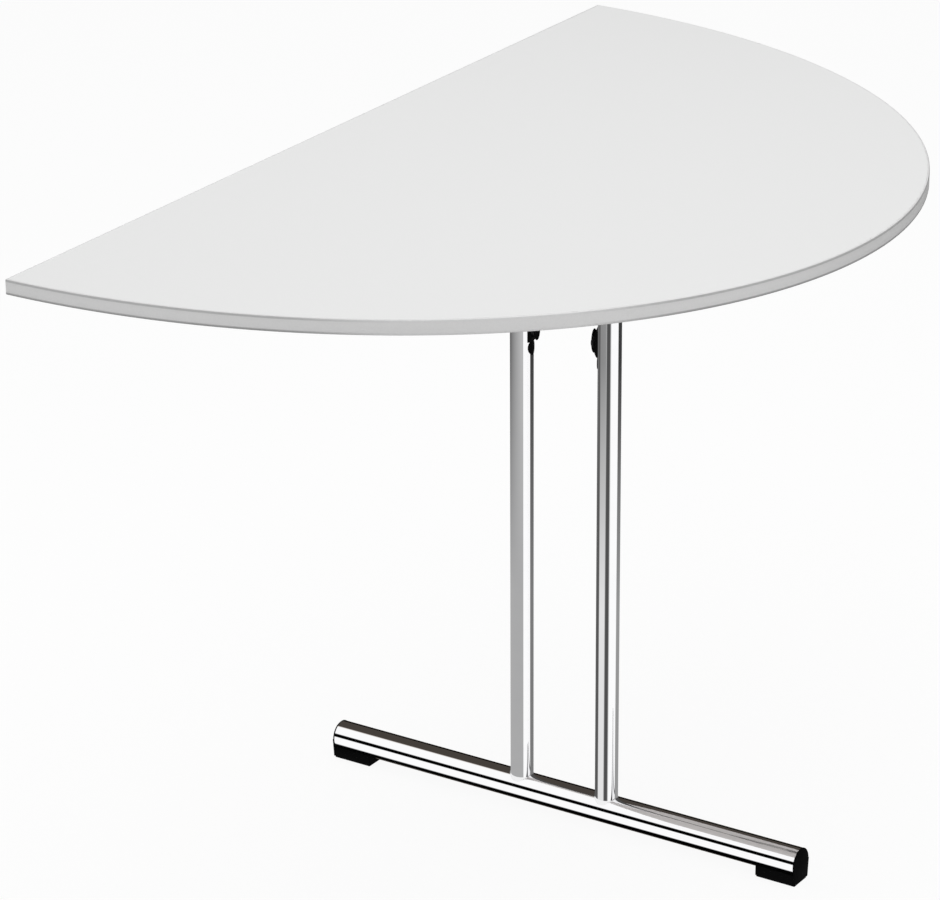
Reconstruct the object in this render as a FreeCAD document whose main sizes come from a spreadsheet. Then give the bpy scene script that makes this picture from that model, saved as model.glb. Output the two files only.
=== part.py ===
import FreeCAD, Part
import Sketcher
import math
import os
import re

# Half-round folding table on one T-leg, in millimetres.
# X runs along the straight edge, Y from the round edge to the straight edge, Z up from the floor.
# The leg stands in the plane X = 0 and folds towards +X, up against the underside of the top.

SIZES = {
    # Table top
    "top_length": 1100,
    "top_depth": 650,
    "table_height": 732,
    "top_thickness": 16,
    "laminate": 0.8,
    "edge_band": 2,
    "edge_round": 0.8,
    # Leg tubes
    "leg_setback": 292.5,
    "upright_spacing": 107,
    "upright_diameter": 25,
    "upright_over": 12,
    "tube_wall": 1.5,
    "foot_diameter": 32,
    "foot_length": 585,
    "foot_clearance": 7,
    # Moulded ends of the tubes
    "plug_flange": 1.5,
    "plug_depth": 5,
    "plug_wall": 2,
    "cap_flange": 2,
    "cap_lip": 0.2,
    "cap_plug": 22,
    "cap_hollow": 11,
    "pad_length": 48,
    "pad_width": 28,
    "pad_hug": 6,
    "pad_round": 1.5,
    "glide_thickness": 3,
    "glide_sunk": 1.2,
    "glide_inset": 1,
    "glide_round": 0.8,
    # Hinge under the top
    "hinge_drop": 30,
    "axle_diameter": 12,
    "hinge_gap": 1,
    "plate_thickness": 2.5,
    "bracket_length": 70,
    "bracket_width": 44,
    "bracket_round": 8,
    "ear_width": 32,
    "bush_wall": 2,
    "bush_flange": 0.7,
    "bush_rim": 3,
    "axle_cap_wall": 2,
    "axle_cap_depth": 5,
    "axle_tail": 4,
    # Folding stays
    "pivot_drop": 129,
    "stay_reach": 150,
    "stay_width": 15,
    "stay_thickness": 2.5,
    "stay_gap": 0.3,
    "pivot_diameter": 7,
    "head_diameter": 11,
    "head_height": 1.2,
    "bolt_reach": 5,
    "knuckle_height": 29,
    "knuckle_width": 13,
    "knuckle_depth": 3,
    "knuckle_crown": 1.2,
    "tail_height": 17,
    "tail_width": 12,
    "tail_depth": 0.9,
    "tail_drop": 21.5,
    "tail_neck": 7,
    "anchor_length": 56,
    "grip_diameter": 17,
    "grip_waist": 13,
    "grip_length": 44,
    "grip_rim": 6,
    # Rest buffers and screws
    "buffer_end": 150,
    "buffer_foot": 26,
    "buffer_tip": 18,
    "buffer_recess": 6,
    "rest_gap": 0.3,
    "screw_diameter": 4,
    "screw_head": 8,
    "screw_head_height": 2.4,
    "screw_bite": 9,
    "screw_inset": 11,
    # Fits
    "seat_fit": 0.05,
    "running_fit": 0.05,
    "overrun": 2,
}

# Levels and faces that several pieces share, as formulas of the sizes above
STRAIGHT_EDGE = "(top_depth / 2)"
UNDERSIDE = "(table_height - top_thickness)"
PLATE_FACE = f"({UNDERSIDE} - plate_thickness)"
HINGE_Z = f"({UNDERSIDE} - hinge_drop)"
PIVOT_Z = f"({HINGE_Z} - pivot_drop)"
FOOT_Z = "(foot_clearance + foot_diameter / 2)"
UPRIGHT_TOP = f"({HINGE_Z} + upright_over)"
LEG_LINE = "(top_depth / 2 - leg_setback)"
PAD_FOOT = "(glide_thickness - glide_sunk)"
FOOT_HALF = "(foot_length / 2)"
TUBE_HALF = "(foot_length / 2 - cap_flange)"

# Distances from the leg's centre line, outwards from the middle
INNER_FACE = "(upright_spacing / 2 - upright_diameter / 2)"
OUTER_FACE = "(upright_spacing / 2 + upright_diameter / 2)"
KNUCKLE_FACE = f"({INNER_FACE} - knuckle_depth)"
LOWER_OUT = f"({KNUCKLE_FACE} - stay_gap)"
LOWER_IN = f"({LOWER_OUT} - stay_thickness)"
UPPER_OUT = f"({LOWER_IN} - stay_gap)"
UPPER_IN = f"({UPPER_OUT} - stay_thickness)"
ANCHOR_OUT = f"({UPPER_IN} - stay_gap)"
ANCHOR_IN = f"({ANCHOR_OUT} - plate_thickness)"
HINGE_IN = f"({OUTER_FACE} + hinge_gap)"
HINGE_OUT = f"({HINGE_IN} + plate_thickness)"
AXLE_END = f"({HINGE_OUT} + axle_tail)"
BUFFER_X = "(top_length / 2 - buffer_end)"

# The two stay links lie in line at rest, and on each other when the leg is folded
SPAN = "(sqrt(pivot_drop ^ 2 + stay_reach ^ 2))"
LOWER_LINK = f"(({SPAN} + stay_reach - pivot_drop) / 2)"
UPPER_LINK = f"(({SPAN} - stay_reach + pivot_drop) / 2)"
KNEE_X = f"({LOWER_LINK} * stay_reach / {SPAN})"
KNEE_Z = f"({PIVOT_Z} + {LOWER_LINK} * pivot_drop / {SPAN})"
STAY_ANGLE = "atan(pivot_drop / stay_reach)"

SIDES = {"front": -1, "rear": 1}

doc = FreeCAD.newDocument("half_round_folding_table")
subparts = []


def write_sheet():
    """Put the driving sizes in a sheet, one alias for each."""
    sheet = doc.addObject("Spreadsheet::Sheet", "Dims")
    for row, (name, value) in enumerate(SIZES.items(), start=1):
        sheet.set(f"A{row}", name)
        sheet.set(f"B{row}", str(value))
        sheet.setAlias(f"B{row}", name)
    doc.recompute()


def formula(text):
    """Spell a formula out with the sheet's name before each size."""
    return re.sub(r"[a-z_]+", lambda word: ("Dims." if word[0] in SIZES else "") + word[0], text)


def bind(item, **formulas):
    for name, text in formulas.items():
        item.setExpression(name, formula(text))


def put(item, x="0", y="0", z="0"):
    for axis, text in zip("xyz", (x, y, z)):
        item.setExpression(f"Placement.Base.{axis}", formula(text))


def node(item, name):
    """Name a finished sub-part and keep it for export."""
    item.Label = name
    subparts.append(item)
    return item


def across(side, near, far):
    """The Y range between two distances from the leg's centre line, on one side of it."""
    if side > 0:
        return f"{LEG_LINE} + {near}", f"{LEG_LINE} + {far}"
    return f"{LEG_LINE} - {far}", f"{LEG_LINE} - {near}"


def box(name, x, y, z):
    item = doc.addObject("Part::Box", name)
    for size, (low, high) in zip(("Length", "Width", "Height"), (x, y, z)):
        bind(item, **{size: f"({high}) - ({low})"})
    put(item, x[0], y[0], z[0])
    return item


TURNS = {
    "x": FreeCAD.Rotation(FreeCAD.Vector(0, 1, 0), 90),
    "y": FreeCAD.Rotation(FreeCAD.Vector(1, 0, 0), -90),
    "z": FreeCAD.Rotation(),
}


def rod(name, axis, diameter, span, x="0", y="0", z="0"):
    """A round bar along one axis; span is its range along that axis."""
    item = doc.addObject("Part::Cylinder", name)
    item.Placement = FreeCAD.Placement(FreeCAD.Vector(), TURNS[axis])
    bind(item, Radius=f"({diameter}) / 2", Height=f"({span[1]}) - ({span[0]})")
    place = {"x": x, "y": y, "z": z}
    place[axis] = span[0]
    put(item, **place)
    return item


def cut(name, base, *tools):
    tool = tools[0] if len(tools) == 1 else join(f"{name}_cutters", *tools)
    item = doc.addObject("Part::Cut", name)
    item.Base = base
    item.Tool = tool
    return item


def join(name, *shapes):
    item = doc.addObject("Part::MultiFuse", name)
    item.Shapes = list(shapes)
    return item


def shared(name, base, tool):
    item = doc.addObject("Part::Common", name)
    item.Base = base
    item.Tool = tool
    return item


def group(name, *items):
    """Separate solids that share one node."""
    item = doc.addObject("Part::Compound", name)
    item.Links = list(items)
    return item


def tube(name, axis, diameter, span, **place):
    outer = rod(f"{name}_outside", axis, diameter, span, **place)
    bore_span = (f"{span[0]} - overrun", f"{span[1]} + overrun")
    bore = rod(f"{name}_bore", axis, f"{diameter} - 2 * tube_wall", bore_span, **place)
    return cut(f"{name}_tube", outer, bore)


def new_sketch(body, plane):
    sketch = body.newObject("Sketcher::SketchObject", f"{body.Name}_sketch")
    planes = {item.Role: item for item in body.Origin.OriginFeatures}
    sketch.AttachmentSupport = (planes[plane], [""])
    sketch.MapMode = "FlatFace"
    return sketch


def outline(body, plane, corners):
    """A closed sketch of straight sides, with each corner tied to its own formulas."""
    sketch = new_sketch(body, plane)
    count = len(corners)
    turn = 2 * math.pi / count
    start = [FreeCAD.Vector(math.cos(i * turn), math.sin(i * turn), 0) for i in range(count)]
    for i in range(count):
        sketch.addGeometry(Part.LineSegment(start[i], start[(i + 1) % count]), False)
    for i in range(count):
        sketch.addConstraint(Sketcher.Constraint("Coincident", i, 2, (i + 1) % count, 1))
    for i, corner in enumerate(corners):
        for kind, text, here in zip(("DistanceX", "DistanceY"), corner, start[i]):
            tie = sketch.addConstraint(Sketcher.Constraint(kind, -1, 1, i, 1, here))
            sketch.setExpression(f"Constraints[{tie}]", formula(text))
    return sketch


def padded(body, sketch, height):
    pad = body.newObject("PartDesign::Pad", f"{body.Name}_pad")
    pad.Profile = sketch
    bind(pad, Length=height)
    body.Tip = pad
    doc.recompute()
    return pad


def turned(name, plane, corners, **place):
    """A round piece: its half profile (radius, along) turned about the sketch's upright axis."""
    body = doc.addObject("PartDesign::Body", name)
    sketch = outline(body, plane, corners)
    turn = body.newObject("PartDesign::Revolution", f"{name}_turn")
    turn.Profile = sketch
    turn.ReferenceAxis = (sketch, ["V_Axis"])
    turn.Angle = 360
    body.Tip = turn
    put(body, **place)
    doc.recompute()
    return body


def block(name, x, y, z, corner):
    """A slab with rounded upright corners."""
    body = doc.addObject("PartDesign::Body", name)
    corners = [(x[0], y[0]), (x[1], y[0]), (x[1], y[1]), (x[0], y[1])]
    pad = padded(body, outline(body, "XY_Plane", corners), f"({z[1]}) - ({z[0]})")
    upright = [f"Edge{i}" for i, edge in enumerate(pad.Shape.Edges, start=1)
               if edge.BoundBox.ZLength > max(edge.BoundBox.XLength, edge.BoundBox.YLength)]
    fillet = body.newObject("PartDesign::Fillet", f"{name}_corners")
    fillet.Base = (pad, upright)
    bind(fillet, Radius=corner)
    body.Tip = fillet
    put(body, z=z[0])
    doc.recompute()
    return body


def half_round(name, inset, z):
    """The half-ellipse of the top, drawn in by an inset, as a slab that ends at the straight edge."""
    along = f"(top_length / 2 - ({inset}))"
    deep = f"(top_depth - ({inset}))"
    curve = doc.addObject("Part::Ellipse", f"{name}_curve")
    curve.Placement = FreeCAD.Placement(FreeCAD.Vector(), FreeCAD.Rotation(FreeCAD.Vector(0, 0, 1), 90))
    bind(curve, MajorRadius=f"max({along}; {deep})", MinorRadius=f"min({along}; {deep})")
    curve.setExpression("Placement.Rotation.Angle", formula(f"{along} > {deep} ? 0 deg : 90 deg"))
    put(curve, y=STRAIGHT_EDGE, z=z[0])
    slab = doc.addObject("Part::Extrusion", f"{name}_slab")
    slab.Base = curve
    slab.DirMode = "Custom"
    slab.Dir = FreeCAD.Vector(0, 0, 1)
    slab.Solid = True
    bind(slab, LengthFwd=f"({z[1]}) - ({z[0]})")
    reach = "top_length + top_depth"
    side = (f"-({reach})", reach)
    far_half = box(f"{name}_far_half", side, (STRAIGHT_EDGE, reach),
                   (f"{z[0]} - overrun", f"{z[1]} + overrun"))
    return cut(f"{name}_half", slab, far_half)


# Screws that go up through a plate into the top; their holes are cut in all that they pass

screw_holes = []


def screws(name, places, seat):
    """Pan-head screws at (x, y) places, with their heads under a seat level."""
    made = []
    for i, (x, y) in enumerate(places):
        head = rod(f"{name}_head_{i}", "z", "screw_head", (f"{seat} - screw_head_height", seat), x, y)
        shank = rod(f"{name}_shank_{i}", "z", "screw_diameter",
                    (f"{seat} - screw_head_height / 2", f"{UNDERSIDE} + screw_bite"), x, y)
        made.append(join(f"{name}_{i}", head, shank))
        screw_holes.append(rod(f"{name}_hole_{i}", "z", "screw_diameter + 2 * seat_fit",
                               (f"{seat} - overrun", f"{UNDERSIDE} + screw_bite + seat_fit"), x, y))
    return node(group(f"{name}_set", *made), name)


def plate_places(x, y):
    """Screw places in the corners of a plate."""
    return [(f"{u} {sign_u} screw_inset", f"{v} {sign_v} screw_inset")
            for u, sign_u in zip(x, "+-") for v, sign_v in zip(y, "+-")]


# Hinge under the top

def eared_plate(name, plate_x, plate_y, corner, ear_ys, ear_x, ear_round, hole_diameter):
    """A plate under the top with an ear for each Y range, rounded round a hole at hinge height."""
    pieces = [block(f"{name}_plate", plate_x, plate_y, (PLATE_FACE, UNDERSIDE), corner)]
    holes = []
    for i, (low, high) in enumerate(ear_ys):
        ear = doc.addObject("PartDesign::Body", f"{name}_ear_{i}")
        corners = [(f"{plate_x[0]} + {corner}", PLATE_FACE), (f"{ear_x} - {ear_round} / 2", HINGE_Z),
                   (f"{ear_x} + {ear_round} / 2", HINGE_Z), (f"{plate_x[1]} - {corner}", PLATE_FACE)]
        padded(ear, outline(ear, "XZ_Plane", corners), f"({high}) - ({low})")
        put(ear, y=high)
        pieces.append(ear)
        pieces.append(rod(f"{name}_ear_end_{i}", "y", ear_round, (low, high), ear_x, z=HINGE_Z))
        holes.append(rod(f"{name}_ear_hole_{i}", "y", hole_diameter,
                         (f"{low} - overrun", f"{high} + overrun"), ear_x, z=HINGE_Z))
    return cut(f"{name}_drilled", join(f"{name}_blank", *pieces), *holes)


def make_hinge():
    brackets = {}
    places = []
    bush_diameter = "(axle_diameter + 2 * running_fit + 2 * bush_wall)"
    for label, side in SIDES.items():
        plate_x = ("-bracket_length / 2", "bracket_length / 2")
        plate_y = across(side, HINGE_IN, f"({HINGE_IN} + bracket_width)")
        ear_y = across(side, HINGE_IN, HINGE_OUT)
        brackets[label] = eared_plate(f"hinge_{label}", plate_x, plate_y, "bracket_round", [ear_y], "0",
                                      "ear_width", f"{bush_diameter} + 2 * seat_fit")
        places += plate_places(plate_x, plate_y)

        bore = "axle_diameter / 2 + running_fit"
        body = f"{bush_diameter} / 2"
        inside, face, outside = f"-{side} * bush_flange", "0", f"{side} * plate_thickness"
        bush = turned(f"bush_{label}", "XY_Plane",
                      [(bore, inside), (f"{body} + bush_rim", inside), (f"{body} + bush_rim", face),
                       (body, face), (body, outside), (bore, outside)],
                      y=f"{LEG_LINE} + {side} * {HINGE_IN}", z=HINGE_Z)
        node(bush, f"hinge_bush_{label}")
    screws("hinge_screws", places, PLATE_FACE)
    for label, bracket in brackets.items():
        node(cut(f"hinge_bracket_{label}_part", bracket, *screw_holes), f"hinge_bracket_{label}")


def make_axle():
    span = (f"{LEG_LINE} - {AXLE_END}", f"{LEG_LINE} + {AXLE_END}")
    node(rod("axle", "y", "axle_diameter", span, z=HINGE_Z), "hinge_axle")
    caps = []
    for label, side in SIDES.items():
        shell = "axle_diameter / 2 + axle_cap_wall"
        bore = "axle_diameter / 2"
        mouth, floor, crown = f"-{side} * (axle_tail - hinge_gap / 2)", "0", f"{side} * axle_cap_wall"
        caps.append(turned(f"axle_cap_{label}", "XY_Plane",
                           [(bore, mouth), (f"{shell} + axle_cap_wall", mouth), (shell, floor),
                            (bore, crown), ("0", crown), ("0", floor), (bore, floor)],
                           y=f"{LEG_LINE} + {side} * {AXLE_END}", z=HINGE_Z))
    node(group("axle_cap_pair", *caps), "axle_caps")


# The T-leg

def make_uprights():
    foot_mass = rod("foot_mass", "y", "foot_diameter", (f"{LEG_LINE} - {FOOT_HALF}", f"{LEG_LINE} + {FOOT_HALF}"),
                    z=FOOT_Z)
    axle_hole = rod("axle_hole", "y", "axle_diameter + 2 * seat_fit",
                    (f"{LEG_LINE} - {AXLE_END}", f"{LEG_LINE} + {AXLE_END}"), z=HINGE_Z)
    for label, side in SIDES.items():
        middle = f"{LEG_LINE} + {side} * upright_spacing / 2"
        stock = tube(f"upright_{label}", "z", "upright_diameter", (FOOT_Z, UPRIGHT_TOP), y=middle)
        bolt_hole = rod(f"upright_bolt_hole_{label}", "y", "pivot_diameter + 2 * seat_fit",
                        across(side, KNUCKLE_FACE, "(upright_spacing / 2)"), z=PIVOT_Z)
        node(cut(f"upright_{label}_part", stock, foot_mass, axle_hole, bolt_hole), f"upright_{label}")

        outer = "upright_diameter / 2"
        inner = "upright_diameter / 2 - tube_wall - seat_fit"
        plug = turned(f"plug_{label}", "XZ_Plane",
                      [("0", "plug_flange"), (f"{outer} - plug_flange", "plug_flange"), (outer, "0"),
                       (inner, "0"), (inner, "-plug_depth"), (f"{inner} - plug_wall", "-plug_depth"),
                       (f"{inner} - plug_wall", "0"), ("0", "0")],
                      y=middle, z=UPRIGHT_TOP)
        node(plug, f"upright_plug_{label}")


def make_foot():
    span = (f"{LEG_LINE} - {TUBE_HALF}", f"{LEG_LINE} + {TUBE_HALF}")
    node(tube("foot", "y", "foot_diameter", span, z=FOOT_Z), "foot_tube")
    pad_x = ("-pad_width / 2", "pad_width / 2")
    for label, side in SIDES.items():
        pad_y = across(side, f"({FOOT_HALF} - pad_length)", FOOT_HALF)
        pad = block(f"pad_{label}", pad_x, pad_y, (PAD_FOOT, "foot_clearance + pad_hug"), "pad_round")
        seat = rod(f"pad_seat_{label}", "y", "foot_diameter + 2 * seat_fit",
                   across(side, f"({FOOT_HALF} - pad_length - overrun)", TUBE_HALF), z=FOOT_Z)
        glide_x = ("-pad_width / 2 + glide_inset", "pad_width / 2 - glide_inset")
        glide_y = across(side, f"({FOOT_HALF} - pad_length + glide_inset)", f"({FOOT_HALF} - glide_inset)")
        glide = block(f"glide_{label}_slab", glide_x, glide_y, ("0", "glide_thickness"), "glide_round")
        outer = "foot_diameter / 2 + cap_lip"
        plug_radius = "foot_diameter / 2 - tube_wall - seat_fit"
        tip, rim, deep = f"{side} * cap_flange", f"{side} * cap_flange / 2", f"-{side} * cap_plug"
        end = turned(f"cap_end_{label}", "XY_Plane",
                     [("0", tip), (f"{outer} - cap_flange / 2", tip), (outer, rim), (outer, "0"),
                      (plug_radius, "0"), (plug_radius, deep), ("cap_hollow", deep),
                      ("cap_hollow", "0"), ("0", "0")],
                     y=f"{LEG_LINE} + {side} * {TUBE_HALF}", z=FOOT_Z)
        end_y = across(side, TUBE_HALF, FOOT_HALF)
        plate = doc.addObject("PartDesign::Body", f"cap_plate_{label}")
        padded(plate, outline(plate, "XZ_Plane", [(f"-({outer})", FOOT_Z), (pad_x[0], PAD_FOOT),
                                                  (pad_x[1], PAD_FOOT), (outer, FOOT_Z)]), "cap_flange")
        put(plate, y=end_y[1])
        saddle = cut(f"pad_saddle_{label}", join(f"pad_blank_{label}", pad, plate), seat, glide)
        node(join(f"foot_cap_{label}_part", saddle, end), f"foot_cap_{label}")
        node(glide, f"glide_{label}")


# Folding stays between the uprights and the top

def flat_bar(name, length, span, **place):
    """A stay link: a flat bar with round ends and a hole at each pivot, sloping up along the stay."""
    body = doc.addObject("PartDesign::Body", name)
    sketch = new_sketch(body, "XZ_Plane")
    far, half, hole = SIZES["stay_reach"], SIZES["stay_width"] / 2, SIZES["pivot_diameter"] / 2
    normal = FreeCAD.Vector(0, 0, 1)
    ends = [FreeCAD.Vector(), FreeCAD.Vector(far, 0, 0)]
    aside = FreeCAD.Vector(0, half, 0)
    quarter = math.pi / 2
    sketch.addGeometry(Part.LineSegment(ends[0] - aside, ends[1] - aside), False)
    sketch.addGeometry(Part.ArcOfCircle(Part.Circle(ends[1], normal, half), -quarter, quarter), False)
    sketch.addGeometry(Part.LineSegment(ends[1] + aside, ends[0] + aside), False)
    sketch.addGeometry(Part.ArcOfCircle(Part.Circle(ends[0], normal, half), quarter, 3 * quarter), False)
    for end in ends:
        sketch.addGeometry(Part.Circle(end, normal, hole), False)
    for first, second in ((0, 1), (1, 2), (2, 3), (3, 0)):
        sketch.addConstraint(Sketcher.Constraint("Tangent", first, 2, second, 1))
    sketch.addConstraint(Sketcher.Constraint("Coincident", 3, 3, -1, 1))
    sketch.addConstraint(Sketcher.Constraint("PointOnObject", 1, 3, -1))
    sketch.addConstraint(Sketcher.Constraint("Coincident", 4, 3, 3, 3))
    sketch.addConstraint(Sketcher.Constraint("Coincident", 5, 3, 1, 3))
    sketch.addConstraint(Sketcher.Constraint("Equal", 1, 3))
    sketch.addConstraint(Sketcher.Constraint("Equal", 4, 5))
    ties = (
        (Sketcher.Constraint("DistanceX", 3, 3, 1, 3, far), length),
        (Sketcher.Constraint("Radius", 3, half), "stay_width / 2"),
        (Sketcher.Constraint("Radius", 4, hole), "pivot_diameter / 2 + running_fit"),
    )
    for constraint, text in ties:
        tie = sketch.addConstraint(constraint)
        sketch.setExpression(f"Constraints[{tie}]", formula(text))
    body.Placement = FreeCAD.Placement(FreeCAD.Vector(), FreeCAD.Rotation(FreeCAD.Vector(0, -1, 0), 45))
    body.setExpression("Placement.Rotation.Angle", formula(STAY_ANGLE))
    padded(body, sketch, "stay_thickness")
    put(body, y=span[1], **place)
    return body


def knuckle_tail(label, side):
    """A thin oval tongue below a bearing, which lies against the upright."""
    middle = f"{LEG_LINE} + {side} * upright_spacing / 2"
    reach = across(side, f"({INNER_FACE} - overrun)", "(upright_spacing / 2)")
    centre = f"({PIVOT_Z} - tail_drop)"
    radius = "((tail_height ^ 2 + tail_width ^ 2) / (4 * tail_width))"
    aside = f"({radius} - tail_width / 2)"
    arcs = [rod(f"tail_arc_{name}_{label}", "y", f"2 * {radius}", reach, x, z=centre)
            for name, x in (("left", aside), ("right", f"-{aside}"))]
    oval = shared(f"tail_oval_{label}", *arcs)
    neck = box(f"tail_neck_{label}", ("-tail_neck / 2", "tail_neck / 2"), reach, (centre, PIVOT_Z))
    wrap = rod(f"tail_wrap_{label}", "z", "upright_diameter + 2 * tail_depth",
               (f"{centre} - tail_height", PIVOT_Z), y=middle)
    return shared(f"tail_{label}", join(f"tail_shape_{label}", oval, neck), wrap)


def make_knuckles():
    """Black bearings on the inner sides of the uprights, with the bolts that the lower links turn on."""
    bolts = []
    for label, side in SIDES.items():
        middle = f"{LEG_LINE} + {side} * upright_spacing / 2"
        height = (f"{PIVOT_Z} - knuckle_height / 2", f"{PIVOT_Z} + knuckle_height / 2")
        width = ("-knuckle_width / 2", "knuckle_width / 2")
        stock = box(f"knuckle_stock_{label}", width, across(side, KNUCKLE_FACE, "(upright_spacing / 2)"), height)
        rise = "(knuckle_depth + knuckle_crown)"
        radius = f"((knuckle_height ^ 2 / 4 + {rise} ^ 2) / (2 * {rise}))"
        bow = rod(f"knuckle_bow_{label}", "x", f"2 * {radius}", width,
                  y=f"{LEG_LINE} + {side} * ({INNER_FACE} - {rise} + {radius})", z=PIVOT_Z)
        seat = rod(f"knuckle_seat_{label}", "z", "upright_diameter + 2 * seat_fit", (FOOT_Z, UPRIGHT_TOP), y=middle)
        hole = rod(f"knuckle_hole_{label}", "y", "pivot_diameter + 2 * seat_fit",
                   across(side, f"({KNUCKLE_FACE} - overrun)", OUTER_FACE), z=PIVOT_Z)
        crowned = shared(f"knuckle_crowned_{label}", stock, bow)
        bearing = join(f"knuckle_bearing_{label}", crowned, knuckle_tail(label, side))
        node(cut(f"knuckle_{label}_part", bearing, seat, hole), f"knuckle_{label}")

        head_face = f"({LOWER_IN} - rest_gap)"
        head = rod(f"bolt_head_{label}", "y", "head_diameter",
                   across(side, f"({head_face} - head_height)", head_face), z=PIVOT_Z)
        shank = rod(f"bolt_shank_{label}", "y", "pivot_diameter",
                    across(side, f"({head_face} - head_height / 2)", f"({INNER_FACE} + bolt_reach)"), z=PIVOT_Z)
        bolts.append(join(f"knuckle_bolt_{label}", head, shank))
    node(group("knuckle_bolt_pair", *bolts), "knuckle_bolts")


def make_stays():
    rivets = []
    for label, side in SIDES.items():
        lower = flat_bar(f"lower_{label}", LOWER_LINK, across(side, LOWER_IN, LOWER_OUT), z=PIVOT_Z)
        upper = flat_bar(f"upper_{label}", UPPER_LINK, across(side, UPPER_IN, UPPER_OUT), x=KNEE_X, z=KNEE_Z)
        node(lower, f"stay_lower_{label}")
        node(upper, f"stay_upper_{label}")
        head = rod(f"rivet_head_{label}", "y", "head_diameter",
                   across(side, LOWER_OUT, f"({LOWER_OUT} + head_height)"), KNEE_X, z=KNEE_Z)
        shank = rod(f"rivet_shank_{label}", "y", "pivot_diameter",
                    across(side, LOWER_IN, f"({LOWER_OUT} + head_height / 2)"), KNEE_X, z=KNEE_Z)
        rivets.append(join(f"knee_rivet_{label}", head, shank))
    node(group("knee_rivet_pair", *rivets), "knee_rivets")

    span = (f"{LEG_LINE} - {UPPER_OUT}", f"{LEG_LINE} + {UPPER_OUT}")
    node(rod("knee_rod", "y", "pivot_diameter", span, KNEE_X, z=KNEE_Z), "knee_bar")
    bore = "pivot_diameter / 2 + seat_fit"
    half = "grip_length / 2"
    waist = f"({half} - grip_rim)"
    grip = turned("grip", "XY_Plane",
                  [(bore, f"-{half}"), ("grip_diameter / 2", f"-{half}"), ("grip_diameter / 2", f"-{waist}"),
                   ("grip_waist / 2", f"-{waist} / 2"), ("grip_waist / 2", f"{waist} / 2"),
                   ("grip_diameter / 2", waist), ("grip_diameter / 2", half), (bore, half)],
                  x=KNEE_X, y=LEG_LINE, z=KNEE_Z)
    node(grip, "knee_grip")


def make_anchor():
    """The bracket under the top that the upper links hang from."""
    plate_x = ("stay_reach - anchor_length / 2", "stay_reach + anchor_length / 2")
    plate_y = (f"{LEG_LINE} - {ANCHOR_OUT}", f"{LEG_LINE} + {ANCHOR_OUT}")
    ears = [across(side, ANCHOR_IN, ANCHOR_OUT) for side in SIDES.values()]
    screws("anchor_screws", plate_places(plate_x, plate_y), PLATE_FACE)
    bracket = eared_plate("anchor", plate_x, plate_y, "plate_thickness", ears, "stay_reach", "stay_width",
                          "pivot_diameter + 2 * seat_fit")
    pins = []
    for label, side in SIDES.items():
        head = rod(f"pin_head_{label}", "y", "head_diameter",
                   across(side, f"({ANCHOR_IN} - head_height)", ANCHOR_IN), "stay_reach", z=HINGE_Z)
        shank = rod(f"pin_shank_{label}", "y", "pivot_diameter",
                    across(side, f"({ANCHOR_IN} - head_height / 2)", UPPER_OUT), "stay_reach", z=HINGE_Z)
        pins.append(join(f"anchor_pin_{label}", head, shank))
    node(cut("anchor_part", bracket, *screw_holes), "stay_anchor")
    node(group("anchor_pin_pair", *pins), "anchor_pins")


def make_buffers():
    """Rubber buffers that the uprights lie against when the leg is folded."""
    buffers = []
    places = []
    drop = "(hinge_drop - upright_diameter / 2 - rest_gap)"
    for label, side in SIDES.items():
        y = f"{LEG_LINE} + {side} * upright_spacing / 2"
        places.append((BUFFER_X, y))
        hole = "screw_diameter / 2 + seat_fit"
        well = "screw_head / 2 + seat_fit"
        buffers.append(turned(f"buffer_{label}", "XZ_Plane",
                              [(hole, "0"), ("buffer_foot / 2", "0"), ("buffer_tip / 2", f"-{drop}"),
                               (well, f"-{drop}"), (well, f"buffer_recess - {drop}"),
                               (hole, f"buffer_recess - {drop}")],
                              x=BUFFER_X, y=y, z=UNDERSIDE))
    node(group("buffer_pair", *buffers), "rest_buffers")
    screws("buffer_screws", places, f"({UNDERSIDE} - {drop} + buffer_recess)")


# The top, made last because all the screws go into it

def make_top():
    core_z = (f"({UNDERSIDE} + laminate)", "(table_height - laminate)")
    whole_z = (UNDERSIDE, "table_height")
    reach = "top_length + top_depth"
    behind = ((f"-({reach})", reach), (f"{STRAIGHT_EDGE} - edge_band", reach),
              (f"{UNDERSIDE} - overrun", "table_height + overrun"))

    def inside(name, z, *holes):
        """A layer inside the edge bands."""
        slab = cut(f"{name}_trimmed", half_round(name, "edge_band", z), box(f"{name}_behind", *behind))
        return cut(f"{name}_part", slab, *holes) if holes else slab

    node(inside("core", core_z, *screw_holes), "top_core")
    node(inside("upper_sheet", (core_z[1], "table_height")), "top_laminate")
    node(inside("under_sheet", (UNDERSIDE, core_z[0]), *screw_holes), "base_laminate")

    strip = shared("strip", half_round("strip", "edge_band", whole_z), box("strip_behind", *behind))
    node(strip, "straight_edge_band")
    ring = cut("ring", half_round("ring", "0", whole_z), half_round("ring_inside", "edge_band", whole_z))
    doc.recompute()
    rounded = doc.addObject("Part::Fillet", "ring_rounded")
    rounded.Base = ring
    round_size = SIZES["edge_round"]
    outer = max(ring.Shape.Edges, key=lambda edge: edge.Length).Length
    rounded.Edges = [(i, round_size, round_size) for i, edge in enumerate(ring.Shape.Edges, start=1)
                     if abs(edge.Length - outer) < SIZES["edge_band"]]
    node(rounded, "arc_edge_band")


def check_document():
    """Stop before anything is written if a piece failed."""
    failed = [item.Name for item in doc.Objects if {"Invalid", "Error"} & set(item.State)]
    for item in subparts:
        if item.Shape.isNull() or not item.Shape.isValid() or not item.Shape.Solids:
            failed.append(item.Label)
    if failed:
        raise RuntimeError("failed pieces: " + ", ".join(failed))


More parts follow.
